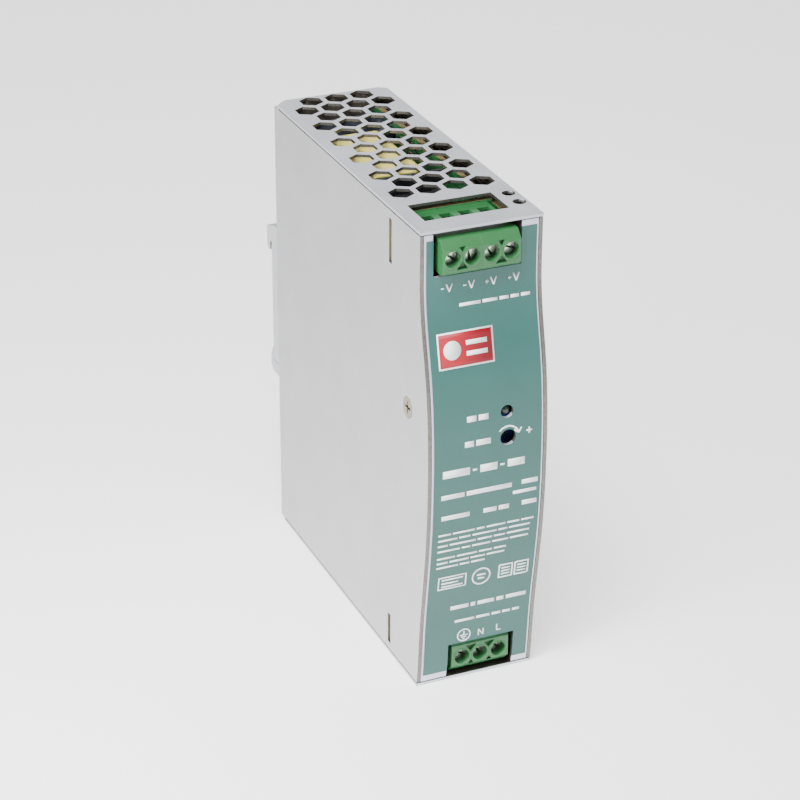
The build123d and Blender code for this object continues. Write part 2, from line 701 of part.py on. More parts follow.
def winding_turns(radius, hole, x0, x1, y, z, angles, wire):
    """Wire loops round a ring core, one at each angle."""
    turns = []
    gap = 0.05
    for angle in angles:
        outer = block(x0 - wire, x1 + wire, hole - wire, radius + wire, -wire / 2, wire / 2)
        inner = block(x0 - gap, x1 + gap, hole - gap, radius + gap, -wire, wire)
        turns.append(Pos(0, behind(y), z) * Rot(angle, 0, 0) * (outer - inner))
    return turns


def make_output_choke():
    """The output filter's ring core."""
    return toroid(7.6, 3.8, 1.6, 8.4, *OUTPUT_CHOKE)


def make_output_choke_winding():
    """The ring's turns, with two ends down to the main board."""
    angles = [index * 22.5 for index in range(16)]
    turns = winding_turns(7.6, 3.8, 1.6, 8.4, *OUTPUT_CHOKE, angles, 1.0)
    depth, z = OUTPUT_CHOKE
    ends = [
        block(9.4, MAIN_FACE, behind(depth + dy - 0.5), behind(depth + dy + 0.5), z - 0.5, z + 0.5)
        for dy in (-6, 6)
    ]
    return group(turns + ends)


def make_line_choke():
    """The mains filter's ring core."""
    return toroid(9.5, 5.2, -2.0, 6.5, 62.0, 17.5)


def make_line_choke_windings():
    """Two windings on opposite halves of the mains filter's ring."""
    angles = [start + index * 18.0 for start in (-63.0, 117.0) for index in range(8)]
    return group(winding_turns(9.5, 5.2, -2.0, 6.5, 62.0, 17.5, angles, 1.2))


def make_line_choke_base():
    """The plastic base that holds the mains filter's ring off the board."""
    base = block(8.2, MAIN_FACE, behind(51.5), behind(72.5), 7.0, 28.0)
    return base - rod_x(4.0, 7.0, 12.0, behind(62.0), 17.5)


def heat_sink(y0, y1, z0, z1, foot):
    """An aluminium plate across the case with a foot bent along the board."""
    plate = block(-12.0, MAIN_FACE, behind(y0), behind(y1), z0, z1)
    edge = behind(y1) if foot > 0 else behind(y0)
    ends = sorted((edge, edge + foot))
    return plate + block(MAIN_FACE - 1.5, MAIN_FACE, ends[0], ends[1], z0, z1)


def power_transistor(y0, z):
    """A three-leg power device with its metal tab flat on a heat sink at y0 + 4.4."""
    back = behind(y0 + 4.4)
    body = block(-6.0, 3.4, back - 4.4, back, z - 5.0, z + 5.0)
    body += block(-12.0, -5.9, back - 1.3, back, z - 5.0, z + 5.0)
    body -= rod_y(1.8, -9.2, back - 5, back + 1, z)
    for dz in (-2.54, 0, 2.54):
        body += block(3.3, MAIN_FACE, back - 2.6, back - 2.0, z + dz - 0.4, z + dz + 0.4)
    return body


def make_x_capacitor():
    """The boxed film capacitor across the mains."""
    box = block(-5.0, MAIN_FACE, behind(30.0), behind(39.0), 28.0, 46.0)
    return fillet(box.edges().filter_by(Axis.X), 0.7)


def make_fuse():
    """A cartridge fuse in two clips."""
    x, y = 5.4, behind(23.5)
    fuse = rod_z(2.4, x, y, 35.0, 45.0)
    for z0 in (30.4, 44.6):
        fuse += rod_z(2.6, x, y, z0, z0 + 5.0)
        fuse += block(x, MAIN_FACE, y - 2.0, y + 2.0, z0 + 1.5, z0 + 3.5)
    return fuse


def disc(radius, thickness, x0, y, z):
    """A disc component on edge, on two legs to the board."""
    body = rod_y(radius, x0 - radius, behind(y), behind(y) + thickness, z)
    body = fillet(body.edges().filter_by(GeomType.CIRCLE), thickness * 0.35)
    middle = behind(y) + thickness / 2
    for dz in (-2.5, 2.5):
        leg_z = z + dz
        body += block(x0 - radius, MAIN_FACE, middle - 0.3, middle + 0.3, leg_z - 0.3, leg_z + 0.3)
    return body


def make_bridge_rectifier():
    """A flat four-leg bridge rectifier."""
    body = block(-2.0, 8.4, behind(52.0), behind(55.6), 33.0, 48.0)
    for index in range(4):
        z = 35.0 + index * 3.7
        body += block(8.3, MAIN_FACE, behind(53.5), behind(54.1), z - 0.4, z + 0.4)
    return body


def flat_chip(y, z, length, width, height, pins, pitch):
    """A small package with two rows of legs on the board."""
    top = MAIN_FACE - height
    middle = top + height / 2
    y0, y1 = behind(y - width / 2), behind(y + width / 2)
    body = block(top, MAIN_FACE - 0.3, y0, y1, z - length / 2, z + length / 2)
    for side in (-1, 1):
        root, bend, tip = (behind(y) + side * (width / 2 + reach) for reach in (-0.1, 0.8, 1.2))
        for index in range(pins):
            pin_z = z + (index - (pins - 1) / 2) * pitch
            z0, z1 = pin_z - 0.25, pin_z + 0.25
            body += block(middle - 0.2, middle + 0.2, min(root, tip), max(root, tip), z0, z1)
            body += block(middle, MAIN_FACE, min(bend, tip), max(bend, tip), z0, z1)
    return body


def write_electronics():
    """Everything on the main board."""
    save("transformer_core", make_transformer_core())
    save("transformer_bobbin", make_transformer_bobbin())
    save("transformer_winding", make_transformer_winding())
    save("output_capacitors", make_output_capacitors())
    save("bulk_capacitor", make_bulk_capacitor())
    save("output_choke_core", make_output_choke())
    save("output_choke_winding", make_output_choke_winding())
    save("line_choke_core", make_line_choke())
    save("line_choke_windings", make_line_choke_windings())
    save("line_choke_base", make_line_choke_base())
    save("output_heat_sink", heat_sink(36.0, 38.0, 62.0, 94.0, 5.0))
    save("output_rectifier", power_transistor(31.6, 80.0))
    save("primary_heat_sink", heat_sink(66.0, 68.0, 50.0, 84.0, 4.0))
    save("switching_transistor", power_transistor(61.6, 66.0))
    save("x_capacitor", make_x_capacitor())
    save("fuse", make_fuse())
    save("inrush_thermistor", disc(6.0, 4.5, 5.0, 36.0, 14.0))
    save("y_capacitors", group([disc(4.5, 3.4, 5.4, 78.0, 14.0), disc(4.5, 3.4, 5.4, 86.0, 14.0)]))
    save("bridge_rectifier", make_bridge_rectifier())
    save("optocouplers", group([flat_chip(49.5, z, 4.6, 6.4, 3.6, 2, 2.54) for z in (64.0, 72.0)]))
    save("control_chip", flat_chip(52.0, 84.0, 9.8, 4.0, 1.8, 8, 1.27))


# ---------------------------------------------------------------- writing

os.makedirs("parts", exist_ok=True)

save("chassis", make_chassis())
save("left_side_panel", make_side_panel(-1))
save("right_side_panel", make_side_panel(1))
save("front_panel", make_front_panel())
save("front_label", make_front_label())
save("side_screws", make_side_screws())
save("lug_nuts", make_lug_nuts())
save("insulation_sheet", make_insulation_sheet())
save("clip_bracket", make_clip_bracket())
save("clip_latch", make_clip_latch())
save("latch_spring", make_latch_spring())
save("rear_rivets", make_rear_rivets())
write_terminals()
save("output_board", make_output_board())
save("input_board", make_input_board())
save("main_board", make_main_board())
save("board_standoffs", make_board_standoffs())
save("board_screws", make_board_screws())
save("status_led", make_status_led())
save("trimmer_body", make_trimmer_body())
save("trimmer_rotor", make_trimmer_rotor())
write_electronics()
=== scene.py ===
"""Looks of a slim DIN rail power supply, built around its packed CAD frame.

Metres, in the CAD frame: +X to the right along the rail, -Y the front, +Z up. Sizes written here
are in millimetres times MM. Each piece is made by one operator, and the panel lists them all.
"""

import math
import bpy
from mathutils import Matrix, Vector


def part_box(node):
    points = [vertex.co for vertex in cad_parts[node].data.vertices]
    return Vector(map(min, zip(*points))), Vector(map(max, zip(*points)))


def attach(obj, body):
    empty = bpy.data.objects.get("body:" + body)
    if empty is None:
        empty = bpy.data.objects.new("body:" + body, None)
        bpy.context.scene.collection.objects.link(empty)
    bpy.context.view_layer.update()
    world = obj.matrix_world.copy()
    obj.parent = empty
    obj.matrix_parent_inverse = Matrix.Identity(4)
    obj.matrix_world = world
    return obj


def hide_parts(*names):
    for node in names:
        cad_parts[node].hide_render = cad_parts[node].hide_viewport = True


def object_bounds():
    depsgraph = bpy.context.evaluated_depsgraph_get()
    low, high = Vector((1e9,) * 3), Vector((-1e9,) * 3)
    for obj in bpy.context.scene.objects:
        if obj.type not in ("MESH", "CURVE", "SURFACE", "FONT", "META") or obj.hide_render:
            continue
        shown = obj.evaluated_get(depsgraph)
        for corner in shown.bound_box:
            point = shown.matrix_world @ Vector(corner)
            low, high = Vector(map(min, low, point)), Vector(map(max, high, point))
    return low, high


bl_info = {
    "name": "DIN Rail Power Supply",
    "version": (1, 0, 0),
    "blender": (4, 5, 0),
    "location": "3D View > Sidebar > Power Supply",
    "description": "Folded aluminium case, printed front film, screw terminals, electronics and rail clip",
    "category": "Add Mesh",
}

import bmesh
import bpy
from bpy.props import FloatProperty, FloatVectorProperty, PointerProperty
from mathutils import Euler, Matrix, Vector

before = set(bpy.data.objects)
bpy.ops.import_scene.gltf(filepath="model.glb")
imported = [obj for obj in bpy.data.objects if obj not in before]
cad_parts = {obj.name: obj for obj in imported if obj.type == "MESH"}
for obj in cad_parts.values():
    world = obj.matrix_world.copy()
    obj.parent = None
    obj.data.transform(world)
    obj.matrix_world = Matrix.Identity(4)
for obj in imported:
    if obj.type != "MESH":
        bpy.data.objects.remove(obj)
CAD_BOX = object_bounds()

MM = 0.001
WELD = 0.001 * MM          # corners of loose triangles closer than this are one point
SHARP = 35.0               # degrees between two faces, past which their edge is a sharp one
CAMERA_TARGET = Vector((-0.41, -2.10, 56.68)) * MM


def linear(code):
    """An sRGB hex value as linear red, green, blue and alpha."""
    channels = [int(code[i:i + 2], 16) / 255 for i in (0, 2, 4)]
    curve = [c / 12.92 if c <= 0.04045 else ((c + 0.055) / 1.055) ** 2.4 for c in channels]
    return (*curve, 1.0)


# ---------------------------------------------------------------- settings

def colour(name, description, code):
    """A colour property with its default given as sRGB hex."""
    return FloatVectorProperty(
        name=name, description=description, subtype="COLOR", size=4, min=0.0, max=1.0, default=linear(code)
    )


def length(name, description, millimetres):
    """A length property with its default given in millimetres."""
    return FloatProperty(
        name=name, description=description, unit="LENGTH", min=0.0, precision=5, default=millimetres * MM
    )


def power(name, description, watts):
    """The power of one softbox."""
    return FloatProperty(name=name, description=description, unit="POWER", min=0.0, default=watts)


class CaseSettings(bpy.types.PropertyGroup):
    """The folded aluminium case and the rail clip."""

    sheet_colour: colour("Sheet colour", "Rolled aluminium of the side panels", "b0b0b1")
    plate_colour: colour("Plate colour", "Rolled aluminium of the folded chassis", "bfc1c8")
    face_colour: colour("Face colour", "Anodised front panel around the film", "cfd0dc")
    edge_radius: length("Edge radius", "Rounding of the deburred sheet edges", 0.14)
    clip_edge_radius: length("Clip edge radius", "Rounding of the extruded clip's edges", 0.3)
    punching_rim: length("Punching rim", "Sheet left between the outline and the punched holes", 1.8)


class FilmSettings(bpy.types.PropertyGroup):
    """The printed front film and its controls."""

    film_colour: colour("Film colour", "Printed polyester film", "1a5650")
    ink_colour: colour("Ink colour", "White screen printing", "f1f7f6")
    badge_colour: colour("Badge colour", "Red block near the top of the film", "9a001c")
    ink_height: length("Ink height", "Thickness of one printed layer", 0.02)


class TerminalSettings(bpy.types.PropertyGroup):
    """The screw terminals."""

    housing_colour: colour("Housing colour", "Moulded polyamide housing", "266335")
    edge_radius: length("Edge radius", "Rounding of the moulded edges", 0.22)
    rim_radius: length("Rim radius", "Bead around each screw hole", 0.2)
    rim_middle: length("Rim middle", "Middle line of the bead from the screw's axis", 2.2)


class InsideSettings(bpy.types.PropertyGroup):
    """Boards and components."""

    board_colour: colour("Board colour", "Solder mask over bare laminate", "245f36")
    tape_colour: colour("Tape colour", "Polyester tape on the transformer", "d9cc5e")
    sleeve_colour: colour("Sleeve colour", "Shrunk sleeve of the capacitors", "20232c")


class StudioSettings(bpy.types.PropertyGroup):
    """Floor, lights and camera."""

    floor_colour: colour("Floor colour", "Seamless paper", "f8f8f8")
    floor_glow: FloatProperty(
        name="Floor glow", description="Light that comes up through the paper", min=0.0, default=1.1
    )
    sky_strength: FloatProperty(
        name="Sky strength", description="Even light from all sides", min=0.0, default=0.32
    )
    key_power: power("Key power", "Main softbox, up and to the left of the front", 13.0)
    top_power: power("Top power", "Softbox behind, mirrored in the top plate", 3.6)
    fill_power: power("Fill power", "Large softbox in front", 2.0)
    pool_power: power("Pool power", "Small softbox over the floor at the left", 0.9)
    azimuth: FloatProperty(
        name="Azimuth", description="Camera turned to the left of the front", subtype="ANGLE",
        default=math.radians(-23.4),
    )
    elevation: FloatProperty(
        name="Elevation", description="Camera above the horizon", subtype="ANGLE", default=math.radians(26.59)
    )
    roll: FloatProperty(name="Roll", description="Camera tilt", subtype="ANGLE", default=math.radians(0.31))
    distance: length("Distance", "Camera to the middle of the case", 667.4)
    focal: FloatProperty(
        name="Focal length", description="Lens of the camera, in mm", min=1.0, default=114.35
    )


# ---------------------------------------------------------------- materials

def add_node(tree, kind, inputs=None, **settings):
    """Adds one node, sets its own settings, and gives each input a value or a link from a socket."""
    made = tree.nodes.new(kind)
    for name, value in settings.items():
        setattr(made, name, value)
    for key, value in (inputs or {}).items():
        if isinstance(value, bpy.types.NodeSocket):
            tree.links.new(value, made.inputs[key])
        else:
            made.inputs[key].default_value = value
    return made


class Finish:
    """A new material: its node tree, its shader, and the place on the piece in metres."""

    def __init__(self, name, sockets):
        self.material = bpy.data.materials.new(name)
        self.material.use_nodes = True
        self.tree = self.material.node_tree
        self.shader = self.tree.nodes["Principled BSDF"]
        for key, value in sockets.items():
            self.shader.inputs[key].default_value = value
        self.place = add_node(self.tree, "ShaderNodeTexCoord").outputs["Object"]

    def noise(self, size, stretch=(1.0, 1.0, 1.0), detail=2.0):
        """Smooth random values with features of about that size, drawn out by stretch."""
        scaled = add_node(
            self.tree, "ShaderNodeMapping",
            {"Vector": self.place, "Scale": [1 / (size * s) for s in stretch]},
        )
        texture = add_node(
            self.tree, "ShaderNodeTexNoise", {"Vector": scaled.outputs[0], "Scale": 1.0, "Detail": detail}
        )
        return texture.outputs["Fac"]

    def vary(self, pattern, colours=None, roughness=None, depth=None, start=0.3, end=0.7):
        """Lets a pattern move the colour and the roughness between two ends each, and lift the surface."""
        sockets = self.shader.inputs
        spread = add_node(
            self.tree, "ShaderNodeMapRange", {"Value": pattern, "From Min": start, "From Max": end}
        ).outputs[0]
        if colours:
            mix = add_node(
                self.tree, "ShaderNodeMix", {0: spread, 6: colours[0], 7: colours[1]}, data_type="RGBA"
            )
            self.tree.links.new(mix.outputs[2], sockets["Base Color"])
        if roughness:
            low, high = roughness
            level = add_node(
                self.tree, "ShaderNodeMath", {0: spread, 1: high - low, 2: low}, operation="MULTIPLY_ADD"
            )
            self.tree.links.new(level.outputs[0], sockets["Roughness"])
        if depth:
            bump = add_node(self.tree, "ShaderNodeBump", {"Height": pattern, "Distance": depth})
            self.tree.links.new(bump.outputs[0], sockets["Normal"])


def shade(rgba, factor):
    """A linear colour made darker or lighter."""
    return (*[min(1.0, c * factor) for c in rgba[:3]], 1.0)


def rolled_aluminium(name, rgba, along, roughness):
    """Mill-finish rolled sheet: a satin sheen with fine straight lines along the rolling direction.
    The lines are 0.25 mm apart, coarser than real ones, so that they show."""
    finish = Finish(name, {"Base Color": rgba, "Metallic": 1.0, "Roughness": roughness})
    stretch = [40.0 if axis == along else 1.0 for axis in "XYZ"]
    lines = finish.noise(0.25 * MM, stretch, 3.0)
    finish.vary(lines, colours=(shade(rgba, 0.95), shade(rgba, 1.03)), depth=0.006 * MM)
    clouds = finish.noise(14 * MM, detail=3.0)
    finish.vary(clouds, roughness=(roughness - 0.04, roughness + 0.05))
    return finish.material


def anodised_aluminium(name, rgba):
    """Blasted and clear-anodised sheet: pale, matt and even, with a 0.3 mm grain."""
    finish = Finish(name, {"Base Color": rgba, "Metallic": 0.65, "Roughness": 0.5})
    finish.vary(finish.noise(0.3 * MM), roughness=(0.44, 0.56), depth=0.008 * MM)
    return finish.material


def painted_inner_shade():
    """Painted shade for the inside faces of the sheets: dull, dark and warm so that the inside reads as shade
    through the vents, with 0.8 mm orange peel.
    """
    finish = Finish("painted_shade_inner_sheet", {"Base Color": linear("3b352d"), "Roughness": 0.7})
    peel = finish.noise(0.8 * MM)
    finish.vary(peel, colours=(linear("342f28"), linear("453e35")), depth=0.01 * MM)
    return finish.material


def sheared_edge_with_painted_shade():
    """Wall of a punched hole, also used on the side panels' front edge: duller than the sheet, with upright
    tears 0.15 mm apart, and painted darker as the shade inside the holes and in the seam at the front panel.
    """
    finish = Finish("punched_edge_and_painted_shade", {
        "Base Color": linear("77746f"), "Metallic": 1.0, "Roughness": 0.5,
    })
    tears = finish.noise(0.15 * MM, (1.0, 1.0, 6.0))
    finish.vary(tears, colours=(linear("66635f"), linear("8a8783")), depth=0.01 * MM)
    return finish.material


def printed_polyester_film(rgba):
    """Screen-printed polyester film: matt, even colour over a fine 0.35 mm embossed texture."""
    finish = Finish("screen_printed_polyester_film", {
        "Base Color": rgba, "Roughness": 0.46, "IOR": 1.57, "Coat Weight": 0.12, "Coat Roughness": 0.35,
    })
    finish.vary(finish.noise(9 * MM, detail=4.0), colours=(shade(rgba, 0.96), shade(rgba, 1.05)))
    finish.vary(finish.noise(0.35 * MM), roughness=(0.42, 0.52), depth=0.012 * MM)
    return finish.material


def screen_printing_ink(name, rgba):
    """A printed ink layer: opaque, softly matt, a little uneven where the mesh left it thinner."""
    finish = Finish(name, {"Base Color": rgba, "Roughness": 0.5})
    finish.vary(finish.noise(0.4 * MM), colours=(shade(rgba, 0.93), rgba), depth=0.004 * MM)
    return finish.material


def moulded_polyamide(name, rgba, roughness=0.42):
    """Injection-moulded polyamide: satin, with a 0.25 mm spark-eroded grain and faint flow clouds."""
    finish = Finish(name, {"Base Color": rgba, "Roughness": roughness, "IOR": 1.53})
    flow = finish.noise(5 * MM, (1.0, 1.0, 2.5), 3.0)
    finish.vary(flow, colours=(shade(rgba, 0.93), shade(rgba, 1.06)))
    grain = finish.noise(0.25 * MM)
    finish.vary(grain, roughness=(roughness - 0.07, roughness + 0.08), depth=0.012 * MM)
    return finish.material


def plated_metal(name, rgba, roughness):
    """Electroplated steel or brass: bright, faintly cloudy, with short 0.12 mm tooling marks."""
    finish = Finish(name, {"Base Color": rgba, "Metallic": 1.0, "Roughness": roughness})
    clouds = finish.noise(1.4 * MM, detail=3.0)
    finish.vary(
        clouds, colours=(shade(rgba, 0.93), shade(rgba, 1.03)), roughness=(roughness - 0.04, roughness + 0.07)
    )
    finish.vary(finish.noise(0.12 * MM, (8.0, 1.0, 1.0)), depth=0.004 * MM)
    return finish.material


def solder_masked_board(rgba, across, up):
    """Green solder mask over copper: tracks 1.3 mm wide show as paler bands, gloss with soft steps.
    across and up name the two object axes that lie in the board."""
    finish = Finish(f"solder_masked_laminate_{across.lower()}{up.lower()}", {
        "Base Color": rgba, "Roughness": 0.3, "IOR": 1.55, "Coat Weight": 0.3, "Coat Roughness": 0.15,
    })
    axes = add_node(finish.tree, "ShaderNodeSeparateXYZ", {"Vector": finish.place})
    flat = add_node(
        finish.tree, "ShaderNodeCombineXYZ", {"X": axes.outputs[across], "Y": axes.outputs[up]}
    )
    tracks = add_node(finish.tree, "ShaderNodeTexBrick", {
        "Vector": flat.outputs[0], "Color1": (1.0, 1.0, 1.0, 1.0), "Color2": (0.45, 0.45, 0.45, 1.0),
        "Mortar": (0.0, 0.0, 0.0, 1.0), "Scale": 1.0, "Mortar Size": 0.22 * MM,
        "Brick Width": 11 * MM, "Row Height": 1.75 * MM,
    }, offset=0.37, squash=1.6, squash_frequency=3)
    finish.vary(
        tracks.outputs["Color"], colours=(shade(rgba, 0.7), shade(rgba, 1.55)), depth=0.035 * MM,
        start=0.0, end=1.0,
    )
    return finish.material


def bare_laminate():
    """Sawn edge of glass-epoxy board: dull straw yellow with 0.2 mm glass layers."""
    finish = Finish("sawn_glass_epoxy_edge", {"Base Color": linear("6e5f35"), "Roughness": 0.75})
    layers = finish.noise(0.2 * MM, (1.0, 1.0, 6.0))
    finish.vary(layers, colours=(linear("57492a"), linear("82724a")), depth=0.02 * MM)
    return finish.material


def wound_tape(rgba):
    """Polyester tape wound in laps: smooth and slightly glossy, with a fold every 6.5 mm."""
    finish = Finish("wound_polyester_tape", {
        "Base Color": rgba, "Roughness": 0.33, "IOR": 1.6, "Coat Weight": 0.25, "Coat Roughness": 0.2,
    })
    finish.vary(finish.noise(3 * MM, (3.0, 1.0, 1.0), 3.0), colours=(shade(rgba, 0.9), shade(rgba, 1.04)))
    laps = add_node(finish.tree, "ShaderNodeTexWave", {
        "Vector": finish.place, "Scale": 2 * math.pi / (20 * 6.5 * MM), "Distortion": 0.4,
    }, bands_direction="Y", wave_profile="SAW")
    finish.vary(laps.outputs["Fac"], depth=0.035 * MM)
    return finish.material


def sintered_ferrite():
    """Sintered ferrite: near-black, dull, with 0.4 mm pits."""
    finish = Finish("sintered_ferrite", {"Base Color": linear("2c2b2e"), "Roughness": 0.6})
    pits = finish.noise(0.4 * MM, detail=4.0)
    finish.vary(pits, colours=(linear("1d1c1f"), linear("3b3a3e")), depth=0.02 * MM)
    return finish.material


def shrunk_sleeve(name, rgba):
    """Heat-shrunk or slit film: smooth, glossy plastic with faint 2 mm ripples."""
    finish = Finish(name, {"Base Color": rgba, "Roughness": 0.28, "IOR": 1.54})
    finish.vary(finish.noise(2 * MM, detail=1.0), roughness=(0.22, 0.36), depth=0.03 * MM)
    return finish.material


def enamelled_copper():
    """Enamelled copper wire: dark orange metal under a clear varnish."""
    finish = Finish("enamelled_copper_wire", {
        "Base Color": linear("b0602f"), "Metallic": 1.0, "Roughness": 0.3, "Coat Weight": 0.5,
        "Coat Roughness": 0.1,
    })
    varnish = finish.noise(1.5 * MM, detail=3.0)
    finish.vary(varnish, colours=(linear("9a4c22"), linear("c37a44")), depth=0.02 * MM)
    return finish.material


def dipped_epoxy(name, code):
    """Dip-coated epoxy: glossy and slightly wavy, as it ran before it set."""
    rgba = linear(code)
    finish = Finish(name, {"Base Color": rgba, "Roughness": 0.2, "IOR": 1.55})
    runs = finish.noise(2.2 * MM, detail=1.0)
    finish.vary(runs, colours=(shade(rgba, 0.85), shade(rgba, 1.08)), depth=0.08 * MM)
    return finish.material


def seamless_paper(rgba, glow):
    """Matt white studio paper lit from below, with a barely visible fibre."""
    finish = Finish("seamless_studio_paper", {
        "Base Color": rgba, "Roughness": 0.9, "Emission Color": rgba, "Emission Strength": glow,
    })
    finish.vary(finish.noise(1.5 * MM, detail=4.0), colours=(shade(rgba, 0.985), rgba))
    return finish.material


# ---------------------------------------------------------------- pieces

def add_piece(bm, name, materials, body="case", stands_for=(), crease=SHARP, weighted=True):
    """Makes a mesh piece with the given materials that rides on a CAD body."""
    mesh = bpy.data.meshes.new(name)
    bm.to_mesh(mesh)
    bm.free()
    mesh.shade_smooth()
    mesh.set_sharp_from_angle(angle=math.radians(crease))
    for material in materials:
        mesh.materials.append(material)
    piece = bpy.data.objects.new(name, mesh)
    bpy.context.scene.collection.objects.link(piece)
    if weighted:
        piece.modifiers.new("Face normals", "WEIGHTED_NORMAL").keep_sharp = True
    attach(piece, body)
    if stands_for:
        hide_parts(*stands_for)
    return piece


def node_mesh(node):
    """A CAD node's shape with its loose triangles merged and its flat faces joined."""
    bm = bmesh.new()
    bm.from_mesh(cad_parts[node].data)
    bmesh.ops.remove_doubles(bm, verts=bm.verts, dist=WELD)
    bmesh.ops.dissolve_limit(bm, angle_limit=math.radians(0.6), verts=bm.verts, edges=bm.edges)
    return bm


def round_edges(bm, radius):
    """Rounds every sharp edge."""
    edges = [e for e in bm.edges if e.is_manifold and e.calc_face_angle() > math.radians(SHARP)]
    bmesh.ops.bevel(
        bm, geom=edges, offset=radius, offset_type="OFFSET", segments=2, profile=0.5,
        affect="EDGES", clamp_overlap=True, material=-1,
    )


def rounded_node(node, name, radius, materials, body="case", pick=None):
    """A CAD node shown with rounded edges. pick gives a face's material number from its place and normal."""
    bm = node_mesh(node)
    if pick:
        for face in bm.faces:
            face.material_index = pick(face.calc_center_median(), face.normal)
    if radius:
        round_edges(bm, radius)
    return add_piece(bm, name, materials, body, [node])


def keep_node(node, material):
    """Shows a CAD node as it is, with a better material."""
    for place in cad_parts[node].material_slots:
        place.material = material


def turned(bm, profile, centre, axis, steps):
    """Spins an open outline of points round an axis into a skin."""
    points = [bm.verts.new(p) for p in profile]
    line = [bm.edges.new(pair) for pair in zip(points, points[1:])]
    bmesh.ops.spin(
        bm, geom=points + line, cent=centre, axis=axis, angle=2 * math.pi, steps=steps, use_merge=True
    )


def add_block(bm, low, high, index=0):
    """A box between two corners, with that material number."""
    low, high = Vector(low), Vector(high)
    matrix = Matrix.Translation((low + high) / 2) @ Matrix.Diagonal((*(high - low), 1.0))
    made = bmesh.ops.create_cube(bm, size=1.0, matrix=matrix)
    for face in {f for v in made["verts"] for f in v.link_faces}:
        face.material_index = index


class PieceOperator:
    """What every piece operator shares."""

    bl_options = {"REGISTER", "UNDO"}

    def execute(self, context):
        self.make(context.scene)
        return {"FINISHED"}


# ---------------------------------------------------------------- case

class PSU_OT_case(PieceOperator, bpy.types.Operator):
    """Folded chassis, side panels and curved front panel, with deburred edges"""

    bl_idname = "psu.case"
    bl_label = "Case sheets"

    def make(self, scene):
        settings = scene.psu_case
        radius = settings.edge_radius
        side = rolled_aluminium("rolled_aluminium_side", settings.sheet_colour, "Z", 0.4)
        plate = rolled_aluminium("rolled_aluminium_plate", settings.plate_colour, "Y", 0.44)
        face = anodised_aluminium("anodised_aluminium_face", settings.face_colour)
        inner_shade_material, sheared_and_shaded = painted_inner_shade(), sheared_edge_with_painted_shade()
        low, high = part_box("chassis")
        middle = (low + high) / 2
        rim = settings.punching_rim

        # Faces that look into the case take material 1, the painted inner shade.
        def inner_shade_index(centre, normal):
            return 1 if (centre - middle).dot(normal) < 0 else 0

        # The side panels' front edge takes material 2, the darker edge colour, as a painted shadow in the
        # seam against the front panel.
        def inner_or_seam_shade_index(centre, normal):
            return 2 if normal.y < -0.5 and centre.y < low.y + rim else inner_shade_index(centre, normal)

        # Upright walls of the vents take material 2, the darker edge colour, as painted shade inside the
        # holes.
        def inner_or_hole_shade_index(centre, normal):
            upright = abs(normal.z) < 0.5
            across = abs(centre.x - middle.x) < high.x - rim
            along = low.y + rim < centre.y < high.y - rim
            return 2 if upright and across and along else inner_shade_index(centre, normal)

        for node, name in (("left_side_panel", "left_panel"), ("right_side_panel", "right_panel")):
            rounded_node(
                node, name, radius, [side, inner_shade_material, sheared_and_shaded], pick=inner_or_seam_shade_index
            )
        rounded_node("front_panel", "curved_front", radius, [face, inner_shade_material], pick=inner_shade_index)
        rounded_node(
            "chassis", "folded_chassis", radius, [plate, inner_shade_material, sheared_and_shaded],
            pick=inner_or_hole_shade_index,
        )


class PSU_OT_fasteners(PieceOperator, bpy.types.Operator):
    """Countersunk side screws, clinch nuts, rivets, spacers and board screws"""

    bl_idname = "psu.fasteners"
    bl_label = "Fasteners"

    def make(self, scene):
        zinc = plated_metal("zinc_plated_steel", linear("c3c6ca"), 0.3)
        rivet = plated_metal("tumbled_aluminium_rivet", linear("cccdd0"), 0.38)
        fine = 0.06 * MM
        yellow_zinc = plated_metal("yellow_chromated_zinc", linear("857b66"), 0.24)
        rounded_node("side_screws", "countersunk_screws", fine, [yellow_zinc])
        rounded_node("lug_nuts", "clinch_nuts", fine, [zinc])
        rounded_node("board_screws", "pan_head_screws", fine, [zinc])
        rounded_node("board_standoffs", "board_spacers", fine, [zinc])
        rounded_node("rear_rivets", "rivets", 0.2 * MM, [rivet])


class PSU_OT_rail_clip(PieceOperator, bpy.types.Operator):
    """Extruded clip bracket, pressed latch and its coil spring"""

    bl_idname = "psu.rail_clip"
    bl_label = "Rail clip"

    def make(self, scene):
        radius = scene.psu_case.clip_edge_radius
        bracket = rolled_aluminium("extruded_aluminium_clip", linear("b9bbbf"), "X", 0.36)
        zinc = plated_metal("zinc_plated_latch", linear("b5babf"), 0.34)
        steel = plated_metal("drawn_spring_steel", linear("8d9094"), 0.28)
        rounded_node("clip_bracket", "rail_bracket", radius, [bracket])
        rounded_node("clip_latch", "rail_latch", radius, [zinc], body="latch")
        keep_node("latch_spring", steel)


# ---------------------------------------------------------------- front film

def film_outline():
    """The film's front surface as (height, depth) pairs, from the bottom up."""
    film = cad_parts["front_label"].data
    outline = {}
    for face in film.polygons:
        if face.normal.y < -0.5:
            for index in face.vertices:
                corner = film.vertices[index].co
                outline[round(corner.z, 6)] = corner.y
    return sorted(outline.items())


